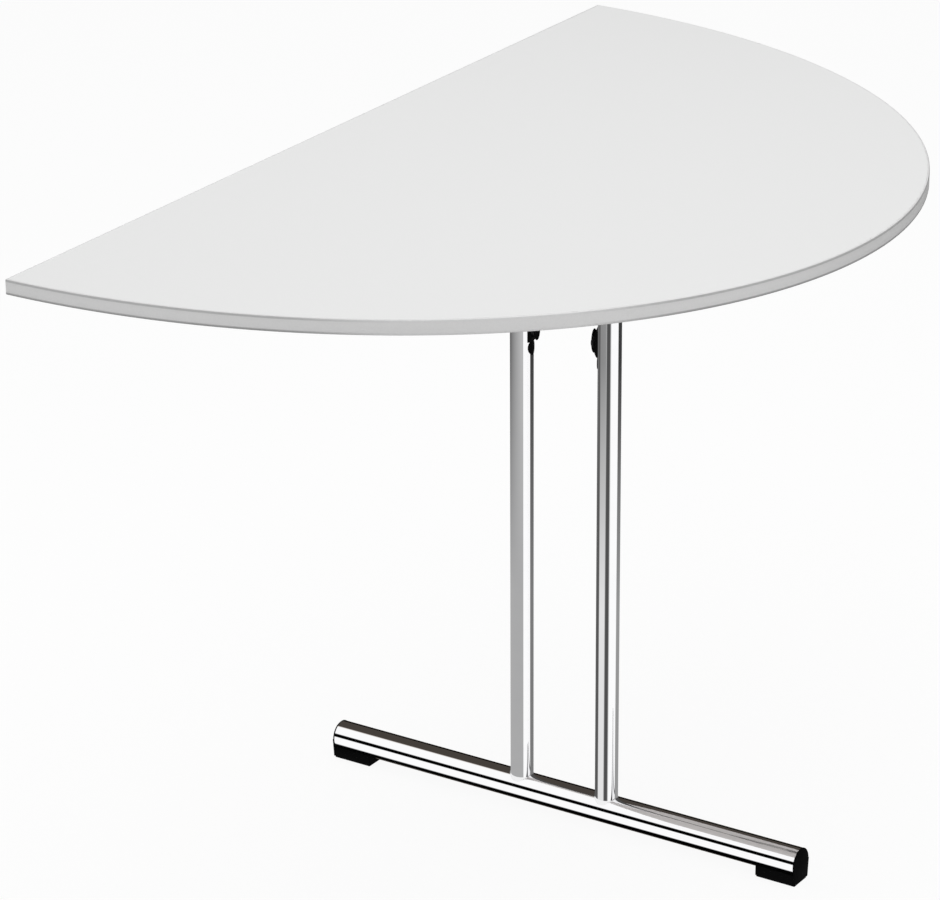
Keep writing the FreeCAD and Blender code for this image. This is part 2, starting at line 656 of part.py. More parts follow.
def export_parts():
    os.makedirs("parts", exist_ok=True)
    for item in subparts:
        item.Shape.exportStep(f"parts/{item.Label}.step")
        print(f"{item.Label}: {len(item.Shape.Solids)} solids, {item.Shape.Volume:.0f} mm3")


write_sheet()
make_hinge()
make_axle()
make_uprights()
make_foot()
make_knuckles()
make_stays()
make_anchor()
make_buffers()
make_top()
doc.recompute()
check_document()
export_parts()
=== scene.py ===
# %% [markdown]
# # Half-round folding table
# The table is a half-round board with a pale laminate face and grey edging, carried by one chrome T-leg
# that folds up under it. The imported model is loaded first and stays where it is: every finish and every
# piece below is placed in its frame, in metres, and rides on one of its bodies.

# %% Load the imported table
import math
import bpy
import bmesh
from mathutils import Matrix, Vector


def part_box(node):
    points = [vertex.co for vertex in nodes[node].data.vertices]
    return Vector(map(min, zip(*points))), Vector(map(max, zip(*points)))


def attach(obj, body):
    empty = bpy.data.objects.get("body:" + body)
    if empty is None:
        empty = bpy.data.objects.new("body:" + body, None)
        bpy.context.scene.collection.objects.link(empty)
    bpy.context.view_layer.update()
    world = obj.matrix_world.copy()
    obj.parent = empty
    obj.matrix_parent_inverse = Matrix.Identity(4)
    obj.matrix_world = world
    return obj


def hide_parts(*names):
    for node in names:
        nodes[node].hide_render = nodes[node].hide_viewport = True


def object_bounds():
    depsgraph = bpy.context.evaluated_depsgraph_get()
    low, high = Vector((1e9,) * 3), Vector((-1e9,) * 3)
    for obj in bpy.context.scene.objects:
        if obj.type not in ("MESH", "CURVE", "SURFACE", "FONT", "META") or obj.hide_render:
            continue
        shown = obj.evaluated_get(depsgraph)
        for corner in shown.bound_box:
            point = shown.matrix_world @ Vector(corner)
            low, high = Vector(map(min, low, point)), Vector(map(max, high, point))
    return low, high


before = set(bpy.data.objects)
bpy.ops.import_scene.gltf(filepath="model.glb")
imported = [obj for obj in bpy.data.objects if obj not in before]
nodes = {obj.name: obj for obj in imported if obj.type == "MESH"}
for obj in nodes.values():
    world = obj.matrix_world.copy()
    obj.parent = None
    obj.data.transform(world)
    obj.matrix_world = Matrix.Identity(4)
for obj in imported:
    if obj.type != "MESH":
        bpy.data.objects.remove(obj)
cad_low, cad_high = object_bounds()
MM = 0.001
SIDES = ("front", "rear")
print("nodes:", len(nodes), "box:", [round(v, 4) for v in cad_low], [round(v, 4) for v in cad_high])

# %% [markdown]
# ## Camera
# The photograph was taken with a long lens from the front left, a little above the table. A camera can be
# placed by a position and a target, or by the way it looks and how far it stands off. The second is
# easier to check against a photograph, so azimuth, elevation and roll are turned into a matrix here.

# %% Set up the camera
AZIMUTH, ELEVATION, ROLL = (math.radians(a) for a in (-57.29, 22.12, -0.32))
STAND_OFF = 3.677
LENS_MM, SENSOR_MM = 163.6, 36.0
AIM = Vector((-0.6810, -0.2862, cad_high[2]))

back = Vector((math.sin(AZIMUTH) * math.cos(ELEVATION), -math.cos(AZIMUTH) * math.cos(ELEVATION),
               math.sin(ELEVATION)))
right = Vector((math.cos(AZIMUTH), math.sin(AZIMUTH), 0))
up = back.cross(right)
across = right * math.cos(ROLL) + up * math.sin(ROLL)
upward = up * math.cos(ROLL) - right * math.sin(ROLL)
turn = Matrix((across, upward, back)).transposed()

camera = bpy.data.objects.new("camera", bpy.data.cameras.new("camera"))
camera.data.lens = LENS_MM
camera.data.sensor_width = SENSOR_MM
camera.matrix_world = Matrix.Translation(AIM + back * STAND_OFF) @ turn.to_4x4()
bpy.context.collection.objects.link(camera)
bpy.context.scene.camera = camera
bpy.context.scene.view_settings.view_transform = "Standard"
print("camera at", [round(v, 3) for v in camera.matrix_world.translation])


# %% [markdown]
# ## Helpers for nodes
# A material is a small web of nodes. A socket either holds a plain value or is linked to the output of
# another node, so one helper does both. The others make a node and give back its output, ready to be
# linked.

# %% Node helpers
def feed(tree, value, node, socket):
    """Set a socket to a plain value, or link it to an output given as (node, output)."""
    if isinstance(value, tuple) and isinstance(value[0], bpy.types.Node):
        source, output = value
        tree.links.new(source.outputs[output], node.inputs[socket])
    else:
        node.inputs[socket].default_value = value


def math_node(tree, operation, *values):
    """The output of a Math node."""
    made = tree.nodes.new("ShaderNodeMath")
    made.operation = operation
    for socket, value in enumerate(values):
        feed(tree, value, made, socket)
    return made, "Value"


def map_range(tree, source, low, high, to_low=0.0, to_high=1.0, smooth=False):
    """The output of a Map Range node; a smooth one eases in and out."""
    made = tree.nodes.new("ShaderNodeMapRange")
    made.interpolation_type = "SMOOTHSTEP" if smooth else "LINEAR"
    for socket, value in (("Value", source), ("From Min", low), ("From Max", high),
                          ("To Min", to_low), ("To Max", to_high)):
        feed(tree, value, made, socket)
    return made, "Result"


def mix_node(tree, kind, share, first, second, blend="MIX"):
    """The output of a Mix node for plain values (FLOAT) or for colours (RGBA)."""
    made = tree.nodes.new("ShaderNodeMix")
    made.data_type = kind
    made.blend_type = blend
    sockets, output = ((0, 2, 3), 0) if kind == "FLOAT" else ((0, 6, 7), 2)
    for socket, value in zip(sockets, (share, first, second)):
        feed(tree, value, made, socket)
    return made, output


# %% [markdown]
# ## Uneven tone
# Nothing on a real table is one flat colour. Every finish wanders a little between two tones, its
# roughness wanders with it, and a fine bump breaks up its shine. The effect is the same in each of them,
# so it is a node group: noise gives a share of the second tone, and the height for the bump.

# %% Node group for uneven tone
FLOAT, COLOUR, VECTOR = "NodeSocketFloat", "NodeSocketColor", "NodeSocketVector"
NOISE_DETAIL, NOISE_ROUGHNESS = 6, 0.62
FIRST_TONE_AT, OTHER_TONE_AT = 0.3, 0.7

mottle = bpy.data.node_groups.new("mottle", "ShaderNodeTree")
for socket, kind in (("Vector", VECTOR), ("Scale", FLOAT), ("Tone", COLOUR), ("Other Tone", COLOUR),
                     ("Roughness", FLOAT), ("Spread", FLOAT)):
    mottle.interface.new_socket(name=socket, in_out="INPUT", socket_type=kind)
for socket, kind in (("Color", COLOUR), ("Roughness", FLOAT), ("Height", FLOAT)):
    mottle.interface.new_socket(name=socket, in_out="OUTPUT", socket_type=kind)
given = mottle.nodes.new("NodeGroupInput")
result = mottle.nodes.new("NodeGroupOutput")

noise = mottle.nodes.new("ShaderNodeTexNoise")
for socket, value in (("Vector", (given, "Vector")), ("Scale", (given, "Scale")), ("Detail", NOISE_DETAIL),
                      ("Roughness", NOISE_ROUGHNESS)):
    feed(mottle, value, noise, socket)
other_share = map_range(mottle, (noise, "Fac"), FIRST_TONE_AT, OTHER_TONE_AT)
feed(mottle, mix_node(mottle, "RGBA", other_share, (given, "Tone"), (given, "Other Tone")), result, "Color")
feed(mottle, math_node(mottle, "MULTIPLY_ADD", other_share, (given, "Spread"), (given, "Roughness")),
     result, "Roughness")
feed(mottle, (noise, "Fac"), result, "Height")
print("mottle:", len(mottle.nodes), "nodes")


# %% [markdown]
# ## Helpers for finishes
# A finish is a Principled shader fed by the group, on Object coordinates, so that the grain stays on the
# piece when it moves. What is the same all over, such as being metal, is set on the shader's own socket.
# Where the shape of a CAD node is right as it is, the node only puts on a finish.

# %% Make a finish and put it on CAD nodes
def finish(name, tone, other_tone, scale, roughness, spread, bump=0.0, bump_mm=0.1, **constants):
    """A material whose colour, roughness and bump come from the mottle group."""
    material = bpy.data.materials.new(name)
    material.use_nodes = True
    tree = material.node_tree
    shader = tree.nodes["Principled BSDF"]
    place = tree.nodes.new("ShaderNodeTexCoord")
    place.name = "place"
    grain = tree.nodes.new("ShaderNodeGroup")
    grain.name = "grain"
    grain.node_tree = mottle
    for socket, value in (("Vector", (place, "Object")), ("Scale", scale), ("Tone", (*tone, 1)),
                          ("Other Tone", (*other_tone, 1)), ("Roughness", roughness), ("Spread", spread)):
        feed(tree, value, grain, socket)
    feed(tree, (grain, "Color"), shader, "Base Color")
    feed(tree, (grain, "Roughness"), shader, "Roughness")
    if bump:
        relief = tree.nodes.new("ShaderNodeBump")
        feed(tree, bump, relief, "Strength")
        feed(tree, bump_mm * MM, relief, "Distance")
        feed(tree, (grain, "Height"), relief, "Height")
        feed(tree, (relief, "Normal"), shader, "Normal")
    for socket, value in constants.items():
        shader.inputs[socket.replace("_", " ")].default_value = value
    return material


def wear(material, *names):
    """Give CAD nodes a finish."""
    for name in names:
        mesh = nodes[name].data
        mesh.materials.clear()
        mesh.materials.append(material)
    print(material.name, "on", ", ".join(names))


def pair(stem):
    return [f"{stem}_{side}" for side in SIDES]


# %% [markdown]
# ## Finishes of the board
# The face is a pale grey-white laminate with a faint orange-peel texture, and the underside a plainer
# backing sheet. The core between them is chipboard, whose chips could be modelled, but a coarse mottle is
# enough for what little of it is ever seen.

# %% Laminates and chipboard
white_laminate = finish("pale_laminate", (0.795, 0.797, 0.795), (0.780, 0.783, 0.782),
                        scale=900, roughness=0.42, spread=0.05, bump=0.06, bump_mm=0.15)
backing_laminate = finish("backing_sheet", (0.74, 0.705, 0.69), (0.71, 0.68, 0.665),
                          scale=700, roughness=0.5, spread=0.08, bump=0.08)
chipboard = finish("pressed_chips", (0.55, 0.42, 0.27), (0.38, 0.27, 0.16),
                   scale=260, roughness=0.8, spread=0.1, bump=0.4, bump_mm=0.4)
wear(white_laminate, "top_laminate")
wear(backing_laminate, "base_laminate")
wear(chipboard, "top_core")


# %% [markdown]
# ## Finish of the edging
# The edging is a light grey plastic strip. Its colour follows a ramp over the height on the strip: painted
# shade along its lower edge, and along its upper edge a dark joint line widened by painted shade over the
# rounded arris.

# %% Grey edging with darker arrises
def grey(level):
    return (level, level, level, 1)


def ramp_node(tree, source, stops):
    """The output of a colour ramp over a source, with (position, colour) stops."""
    made = tree.nodes.new("ShaderNodeValToRGB")
    elements = made.color_ramp.elements
    while len(elements) < len(stops):
        elements.new(0.5)
    for element, (position, colour) in zip(elements, stops):
        element.position = position
        element.color = colour
    feed(tree, source, made, "Fac")
    return made, "Color"


# Painted shade on the lower arris, and a dark joint with painted shade over the upper arris.
PAINTED_SHADE_BELOW = ((0.0, 0.42), (0.12, 0.50), (0.20, 0.97))
EVEN_MIDDLE = ((0.5, 1.0), (0.80, 0.97))
JOINT_AND_SHADE_ABOVE = ((0.87, 0.66), (0.97, 0.66), (0.985, 1.0))

board_low, board_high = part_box("arc_edge_band")
grey_edging = finish("grey_edging_strip", (0.728, 0.727, 0.726), (0.700, 0.699, 0.699),
                     scale=500, roughness=0.34, spread=0.08, bump=0.08)
tree = grey_edging.node_tree
place = tree.nodes["place"]
spot = tree.nodes.new("ShaderNodeSeparateXYZ")
feed(tree, (place, "Object"), spot, "Vector")
level = map_range(tree, (spot, "Z"), board_low.z, board_high.z)
painted_arris_shade = ramp_node(tree, level, [(position, grey(shade))
                                for position, shade in PAINTED_SHADE_BELOW + EVEN_MIDDLE + JOINT_AND_SHADE_ABOVE])
print("edging from", round(board_low.z, 4), "to", round(board_high.z, 4), "m above the floor")

# %% [markdown]
# Round a spot at the front of the board, the painted shade and the dark joint on the edges fade out, so that
# the edges there look lit. The distance from the spot is the mask for the ramp.

# %% Spot where the painted shade fades on the edging
# Painted shade on the arrises fades out round this spot, and only a little of it is left there.
UNSHADED_SPOT = (-0.398, -0.126, board_low.z)
UNSHADED_RADIUS, SHADED_RADIUS = 0.07, 0.21
SHADE_LEFT = 0.12

away = tree.nodes.new("ShaderNodeVectorMath")
away.operation = "DISTANCE"
feed(tree, (place, "Object"), away, 0)
feed(tree, UNSHADED_SPOT, away, 1)
shade_share = map_range(tree, (away, "Value"), UNSHADED_RADIUS, SHADED_RADIUS, to_low=SHADE_LEFT, smooth=True)
shaded = mix_node(tree, "RGBA", shade_share, (tree.nodes["grain"], "Color"), painted_arris_shade, blend="MULTIPLY")
feed(tree, shaded, tree.nodes["Principled BSDF"], "Base Color")
wear(grey_edging, "arc_edge_band", "straight_edge_band")

# %% [markdown]
# ## Finishes of the leg and the stays
# The tubes are polished chrome, the stays and brackets black painted steel, and the fixings zinc-plated,
# some of them black. Bare metals are metallic and nearly smooth. Paint is not metallic: it is a dark coat
# with a fine grain.

# %% Metals
chrome = finish("polished_chrome", (0.885, 0.885, 0.892), (0.868, 0.868, 0.877),
                scale=60, roughness=0.02, spread=0.025, Metallic=1.0)
zinc = finish("zinc_plate", (0.60, 0.61, 0.62), (0.50, 0.51, 0.53),
              scale=240, roughness=0.3, spread=0.15, Metallic=1.0)
black_zinc = finish("black_zinc_plate", (0.02, 0.02, 0.022), (0.035, 0.035, 0.037),
                    scale=240, roughness=0.35, spread=0.15, Metallic=1.0)
black_steel = finish("painted_steel", (0.005, 0.005, 0.0055), (0.010, 0.010, 0.0105),
                     scale=900, roughness=0.40, spread=0.14, bump=0.2, Specular_IOR_Level=0.15)
wear(zinc, "hinge_axle", "anchor_pins", "knee_rivets", "knee_bar")
wear(black_zinc, "knuckle_bolts", "axle_caps")

# %% [markdown]
# The ends of the foot and the joints are black plastic, the glides and buffers rubber, and the bushes in the
# hinges pale nylon. Black plastic looks black only while its gloss is weak, so its specular level is low.

# %% Plastics and rubber
black_plastic = finish("moulded_black", (0.0012, 0.0012, 0.0014), (0.0025, 0.0025, 0.0027),
                       scale=1200, roughness=0.42, spread=0.12, bump=0.15, Specular_IOR_Level=0.03)
black_rubber = finish("soft_rubber", (0.006, 0.006, 0.006), (0.012, 0.012, 0.0115),
                      scale=700, roughness=0.8, spread=0.12, bump=0.3, Specular_IOR_Level=0.1)
nylon = finish("plain_nylon", (0.74, 0.73, 0.69), (0.66, 0.65, 0.60),
               scale=300, roughness=0.45, spread=0.1, bump=0.1)
wear(black_plastic, *pair("upright_plug"))
wear(black_rubber, *pair("glide"), "rest_buffers")
wear(nylon, *pair("hinge_bush"))

# %% [markdown]
# ## Helpers for pieces
# A new piece starts as a bmesh. When its shape is ready, doubles are merged, its normals are turned
# outwards, and it becomes an object that rides on a body. Smooth shading with sharp edges marked by angle
# keeps the curved walls even and the corners crisp.

# %% Turn a bmesh into a piece
SHARP = math.radians(35)
TOUCHING = 0.002 * MM


def piece_from(shape, name, body, material, slot, *replaced):
    """Finish a bmesh as a piece on a body; it may stand for CAD nodes."""
    bmesh.ops.remove_doubles(shape, verts=shape.verts, dist=TOUCHING)
    bmesh.ops.recalc_face_normals(shape, faces=shape.faces)
    for face in shape.faces:
        face.smooth = True
    mesh = bpy.data.meshes.new(name)
    shape.to_mesh(mesh)
    shape.free()
    mesh.set_sharp_from_angle(angle=SHARP)
    mesh.materials.append(material)
    piece = bpy.data.objects.new(name, mesh)
    bpy.context.collection.objects.link(piece)
    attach(piece, body)
    if replaced:
        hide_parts(*replaced)
    print(name, len(mesh.polygons), "faces")


# %% [markdown]
# ## Foot tube
# Chrome shows every flat facet, and a CAD mesh has few of them round a tube. A bevel would not help
# there, so the tubes are spun again from a section of their wall, with many steps.

# %% Chrome foot
TUBE_WALL = 1.5 * MM
FOOT_STEPS = 160


def spun(profile, centre, axis, steps):
    """A ring-shaped bmesh: a closed loop of points turned once round an axis."""
    shape = bmesh.new()
    verts = [shape.verts.new(point) for point in profile]
    edges = [shape.edges.new((verts[i - 1], verts[i])) for i in range(len(verts))]
    bmesh.ops.spin(shape, geom=verts + edges, cent=centre, axis=axis, angle=2 * math.pi, steps=steps,
                   use_merge=True)
    return shape


def wall_section(radius, low, high):
    """The corners of a tube's wall, as distances from its axis and places along it."""
    bore = radius - TUBE_WALL
    return [(radius, low), (radius, high), (bore, high), (bore, low)]


foot_low, foot_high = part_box("foot_tube")
foot_radius = (foot_high.x - foot_low.x) / 2
foot_z = (foot_low.z + foot_high.z) / 2
section = wall_section(foot_radius, foot_low.y, foot_high.y)
foot = spun([(r, along, foot_z) for r, along in section], (0, 0, foot_z), (0, 1, 0), FOOT_STEPS)
piece_from(foot, "foot_tube_chrome", "leg", chrome, "chrome_tube", "foot_tube")


# %% [markdown]
# ## Uprights
# Two tubes stand on the foot, and their lower ends are cut to a saddle that fits it. A boolean could cut
# them, but it leaves ragged faces that chrome would show. Here each point of the lowest ring is set on
# the foot's round surface instead.

# %% Uprights with saddle ends
UPRIGHT_STEPS = 120


def saddle_height(x):
    """Height of the foot tube's surface above the floor at a distance x from its middle."""
    return foot_z + math.sqrt(max(foot_radius ** 2 - x ** 2, 0))


uprights = {}
for side in SIDES:
    low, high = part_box(f"upright_{side}")
    radius = (high.x - low.x) / 2
    middle = (low.y + high.y) / 2
    uprights[side] = (radius, middle)
    section = wall_section(radius, low.z, high.z)
    upright = spun([(r, middle, z) for r, z in section], (0, middle, 0), (0, 0, 1), UPRIGHT_STEPS)
    for vert in upright.verts:
        if vert.co.z < low.z + MM:
            vert.co.z = saddle_height(vert.co.x)
    piece_from(upright, f"upright_{side}_chrome", "leg", chrome, "chrome_tube", f"upright_{side}")

# %% [markdown]
# ## Weld beads
# Where an upright meets the foot there is a thin polished bead of weld. A small circle is spun round the
# upright, then each of its points is lifted by the height of the saddle below it.

# %% Beads round the saddles
BEAD = 0.35 * MM
BEAD_SIDES, BEAD_STEPS = 8, 96
bead_angles = [2 * math.pi * i / BEAD_SIDES for i in range(BEAD_SIDES)]
for side, (radius, middle) in uprights.items():
    ring = [(radius + BEAD * math.cos(a), middle, BEAD * math.sin(a)) for a in bead_angles]
    bead = spun(ring, (0, middle, 0), (0, 0, 1), BEAD_STEPS)
    for vert in bead.verts:
        vert.co.z += saddle_height(vert.co.x)
    piece_from(bead, f"weld_bead_{side}", "leg", chrome, "chrome_tube")

# %% [markdown]
# ## Edging
# The strip round the board has softened arrises. A half-ellipse can't be spun, so the strip starts as a
# circle that is scaled to an ellipse. Its edges are then extruded from one ring of the strip's section to
# the next, and each new ring is scaled and lowered to its place. The section comes first: how far each
# ring lies inside the outline, and its height.

# %% Section of the edging
BAND = 2 * MM
ARRIS = 1.5 * MM
quarter = [math.radians(a) for a in (0, 22.5, 45, 67.5, 90)]
upper = [(ARRIS * (1 - math.sin(a)), board_high.z - ARRIS * (1 - math.cos(a))) for a in quarter]
lower = [(inset, board_low.z + board_high.z - height) for inset, height in reversed(upper)]
rings = [(BAND, board_high.z), *upper, *lower, (BAND, board_low.z), (BAND, board_high.z)]
print("edging section:", len(rings), "rings")

# %% [markdown]
# The last ring lies on the first one and is merged with it. A plane then cuts the closed ring in half
# along the straight edge of the board, and the two ends are filled.

# %% Round edging
EDGING_POINTS = 720
RING_CLOSE = 0.01 * MM
CUT_CLOSE = 0.001 * MM
half_length, edge_y = board_high.x, board_high.y
depth = board_high.y - board_low.y


def ellipse_size(inset):
    return half_length - inset, depth - inset


def extruded(shape, edges):
    """Extrude edges where they are; gives the new points and the new open edges."""
    made = bmesh.ops.extrude_edge_only(shape, edges=edges)["geom"]
    verts = [item for item in made if isinstance(item, bmesh.types.BMVert)]
    rim = [item for item in made if isinstance(item, bmesh.types.BMEdge) and item.is_boundary]
    return verts, rim


edging = bmesh.new()
verts = bmesh.ops.create_circle(edging, segments=EDGING_POINTS, radius=1)["verts"]
bmesh.ops.scale(edging, verts=verts, vec=(*ellipse_size(BAND), 1))
bmesh.ops.translate(edging, verts=verts, vec=(0, 0, board_high.z))
rim = edging.edges[:]
for (inset, height), (next_inset, next_height) in zip(rings, rings[1:]):
    verts, rim = extruded(edging, rim)
    grow = [new / old for new, old in zip(ellipse_size(next_inset), ellipse_size(inset))]
    bmesh.ops.scale(edging, verts=verts, vec=(*grow, 1))
    bmesh.ops.translate(edging, verts=verts, vec=(0, 0, next_height - height))
bmesh.ops.remove_doubles(edging, verts=edging.verts, dist=RING_CLOSE)
geometry = edging.verts[:] + edging.edges[:] + edging.faces[:]
cut = bmesh.ops.bisect_plane(edging, geom=geometry, plane_co=(0, 0, 0), plane_no=(0, 1, 0), dist=CUT_CLOSE,
                             clear_outer=True)["geom_cut"]
cut_edges = [item for item in cut if isinstance(item, bmesh.types.BMEdge)]
for end in (-1, 1):
    bmesh.ops.edgeloop_fill(edging, edges=[edge for edge in cut_edges if end * edge.verts[0].co.x > 0])
bmesh.ops.translate(edging, verts=edging.verts, vec=(0, edge_y, 0))
piece_from(edging, "round_edging", "top", grey_edging, "grey_edging", "arc_edge_band")

# %% [markdown]
# ## Softened black parts and brackets
# Moulded plastic and pressed steel have no razor edges. Their CAD shapes are right, so a copy of each
# mesh is merged, its flat faces are joined, and its sharp edges are bevelled. The copy then stands for
# the node.

# %% Bevelled copies of CAD nodes
CAD_TOUCHING = 0.005 * MM
FLAT, CORNER = math.radians(1), math.radians(32)
BEVEL_SEGMENTS = 2


def softened(node, body, material, slot, width):
    """A copy of a CAD node with its sharp edges bevelled by a width."""
    shape = bmesh.new()
    shape.from_mesh(nodes[node].data)
    bmesh.ops.remove_doubles(shape, verts=shape.verts, dist=CAD_TOUCHING)
    bmesh.ops.dissolve_limit(shape, angle_limit=FLAT, verts=shape.verts, edges=shape.edges)
    corners = [edge for edge in shape.edges if edge.is_manifold and edge.calc_face_angle(0) > CORNER]
    bmesh.ops.bevel(shape, geom=corners, offset=width, offset_type="OFFSET", segments=BEVEL_SEGMENTS,
                    profile=0.5, affect="EDGES", clamp_overlap=True, material=-1)
    piece_from(shape, f"{node}_soft", body, material, slot, node)


for side in SIDES:
    softened(f"foot_cap_{side}", "leg", black_plastic, "black_plastic", width=0.6 * MM)
    softened(f"knuckle_{side}", "leg", black_plastic, "black_plastic", width=0.25 * MM)
    softened(f"hinge_bracket_{side}", "top", black_steel, "black_steel", width=0.35 * MM)
    softened(f"stay_lower_{side}", "stay_lower", black_steel, "black_steel", width=0.4 * MM)
    softened(f"stay_upper_{side}", "stay_upper", black_steel, "black_steel", width=0.4 * MM)
softened("stay_anchor", "top", black_steel, "black_steel", width=0.35 * MM)
softened("straight_edge_band", "top", grey_edging, "grey_edging", width=0.5 * MM)

# %% [markdown]
# ## Bearing covers
# An oval cap of black plastic hides the bolt on which each lower link turns. It starts as a circle that
# is stretched to an oval, shorter below, where the link of the folded leg comes close. Its rim is
# extruded in a few rings that grow smaller, which gives a domed face. A small gap keeps it off the link.

# %% Oval covers on the bearings
COVER_GAP = 0.25 * MM
COVER_HALF_WIDTH, COVER_ABOVE, COVER_BELOW = 5.5 * MM, 14.5 * MM, 12.2 * MM
COVER_POINTS = 64
COVER_RINGS = ((1.0, 0.45 * MM), (0.95, 0.9 * MM), (0.82, 1.3 * MM), (0.55, 1.5 * MM))
UPENDED = Matrix.Rotation(math.pi / 2, 4, "X")

bolt_low, bolt_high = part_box("knuckle_bolts")
pivot_z = (bolt_low.z + bolt_high.z) / 2
for side, outward in zip(SIDES, (1, -1)):
    link_low, link_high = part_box(f"stay_lower_{side}")
    face_y = link_high.y + COVER_GAP if outward > 0 else link_low.y - COVER_GAP
    cover = bmesh.new()
    oval = bmesh.ops.create_circle(cover, segments=COVER_POINTS, radius=1, cap_ends=True, matrix=UPENDED)
    for vert in oval["verts"]:
        vert.co.x *= COVER_HALF_WIDTH
        vert.co.z *= COVER_ABOVE if vert.co.z > 0 else COVER_BELOW
    rim = cover.edges[:]
    last_share, last_out = 1.0, 0.0
    for share, out in COVER_RINGS:
        verts, rim = extruded(cover, rim)
        bmesh.ops.scale(cover, verts=verts, vec=(share / last_share, 1, share / last_share))
        bmesh.ops.translate(cover, verts=verts, vec=(0, outward * (out - last_out), 0))
        last_share, last_out = share, out
    bmesh.ops.edgeloop_fill(cover, edges=rim)
    bmesh.ops.translate(cover, verts=cover.verts, vec=(0, face_y, pivot_z))
    piece_from(cover, f"bearing_cover_{side}", "leg", black_plastic, "black_plastic")

# %% [markdown]
# ## Screws
# The plates are held by pan-head screws with a cross recess. A spun head would be quicker, but it has no
# faces for the cross. So a grid of faces is the start: its middle cross is pushed in, and its border is
# extruded to a circle, then up to the rounded head and the shank.

# %% One pan-head screw
HEAD_RADIUS, HEAD_HEIGHT, SHANK_RADIUS = 4 * MM, 2.4 * MM, 2 * MM
HEAD_SECTION = ((0.80, 0.0), (0.94, 0.25), (1.0, 0.65), (1.0, 1.0))
GRID = 5
CROSS_HALF, CROSS_DEPTH = 2.2 * MM, 1.3 * MM


def push_cross(shape, x, y, face_z):
    """A square grid with a cross pushed in at its middle; gives the edges of its border."""
    spread = Matrix.Translation((x, y, face_z))
    grid = bmesh.ops.create_grid(shape, x_segments=GRID, y_segments=GRID, size=CROSS_HALF, matrix=spread)
    faces = list(dict.fromkeys(face for vert in grid["verts"] for face in vert.link_faces))
    border = list(dict.fromkeys(edge for face in faces for edge in face.edges if edge.is_boundary))
    step = 2 * CROSS_HALF / GRID
    cross = []
    for face in faces:
        centre = face.calc_center_median()
        near, far = sorted((abs(centre.x - x), abs(centre.y - y)))
        if near < step / 2 and far < 1.5 * step:
            cross.append(face)
    pushed = bmesh.ops.extrude_face_region(shape, geom=cross)["geom"]
    bmesh.ops.delete(shape, geom=cross, context="FACES_ONLY")
    deep = [item for item in pushed if isinstance(item, bmesh.types.BMVert)]
    bmesh.ops.translate(shape, verts=deep, vec=(0, 0, CROSS_DEPTH))
    return border


def add_screw(shape, x, y, seat, tip):
    """One screw with its head under the seat level and its tip above it."""
    face_z = seat - HEAD_HEIGHT
    rim = push_cross(shape, x, y, face_z)
    head = [(share * HEAD_RADIUS, face_z + rise * HEAD_HEIGHT) for share, rise in HEAD_SECTION]
    for radius, height in [*head, (SHANK_RADIUS, seat), (SHANK_RADIUS, tip)]:
        verts, rim = extruded(shape, rim)
        for vert in verts:
            outward = Vector((vert.co.x - x, vert.co.y - y)).normalized() * radius
            vert.co = (x + outward.x, y + outward.y, height)
    bmesh.ops.edgeloop_fill(shape, edges=rim)


print("screw head:", 2 * HEAD_RADIUS / MM, "mm across")

# %% [markdown]
# Each plate has a screw near every corner, and each buffer has one in its middle, in line with the
# upright that comes to rest on it. A set of screws is one piece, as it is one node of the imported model.

# %% Screws in their places
SCREW_INSET = 11 * MM


def screw_set(node, places):
    """All the screws of a CAD node, at (x, y) places."""
    low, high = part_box(node)
    shape = bmesh.new()
    for x, y in places:
        add_screw(shape, x, y, low.z + HEAD_HEIGHT, high.z)
    piece_from(shape, f"{node}_pan", "top", zinc, "zinc_steel", node)


def corner_places(plate):
    """Screw places near the corners of a plate."""
    low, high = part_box(plate)
    return [(x, y) for x in (low.x + SCREW_INSET, high.x - SCREW_INSET)
            for y in (low.y + SCREW_INSET, high.y - SCREW_INSET)]


screw_set("hinge_screws", corner_places("hinge_bracket_front") + corner_places("hinge_bracket_rear"))
screw_set("anchor_screws", corner_places("stay_anchor"))
buffer_low, buffer_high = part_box("rest_buffers")
buffer_x = (buffer_low.x + buffer_high.x) / 2
screw_set("buffer_screws", [(buffer_x, middle) for radius, middle in uprights.values()])

# %% [markdown]
# ## Grip
# The bar between the knees of the stays carries a waisted grip that a hand pulls to unlock the leg.
# Raised rings keep it from slipping. They could be a bump in the material, but then the outline would
# stay smooth, so they are part of the outline that is spun round the bar.

# %% Ribbed grip
BAR_RADIUS = 3.55 * MM
GRIP_STEPS = 48
CHAMFER = 0.8 * MM
COLLAR_FROM = 0.75
RIBS, RIB_SPAN = 7, 1.3
RIB_TOP, RIB_FOOT, RIB_HEIGHT = 0.7 * MM, 1.4 * MM, 0.7 * MM
WAIST, WAIST_RISE = 0.78, 0.16

grip_low, grip_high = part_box("knee_grip")
grip_x, grip_y, grip_z = (grip_low + grip_high) / 2
grip_radius = (grip_high.x - grip_low.x) / 2
half = grip_high.y - grip_y
near_end = [(BAR_RADIUS, -half), (grip_radius - CHAMFER, -half), (grip_radius, -half + CHAMFER),
            (grip_radius, -COLLAR_FROM * half)]
ribs = []
for i in range(RIBS):
    along = (i - (RIBS - 1) / 2) * RIB_SPAN * half / RIBS
    waist = grip_radius * (WAIST + WAIST_RISE * (along / half) ** 2)
    ribs += [(waist, along - RIB_FOOT), (waist + RIB_HEIGHT, along - RIB_TOP),
             (waist + RIB_HEIGHT, along + RIB_TOP), (waist, along + RIB_FOOT)]
far_end = [(r, -along) for r, along in reversed(near_end)]
grip = spun([(grip_x + r, grip_y + along, grip_z) for r, along in near_end + ribs + far_end],
            (grip_x, grip_y, grip_z), (0, 1, 0), GRIP_STEPS)
piece_from(grip, "knee_grip_ribbed", "stay_upper", black_plastic, "black_plastic", "knee_grip")


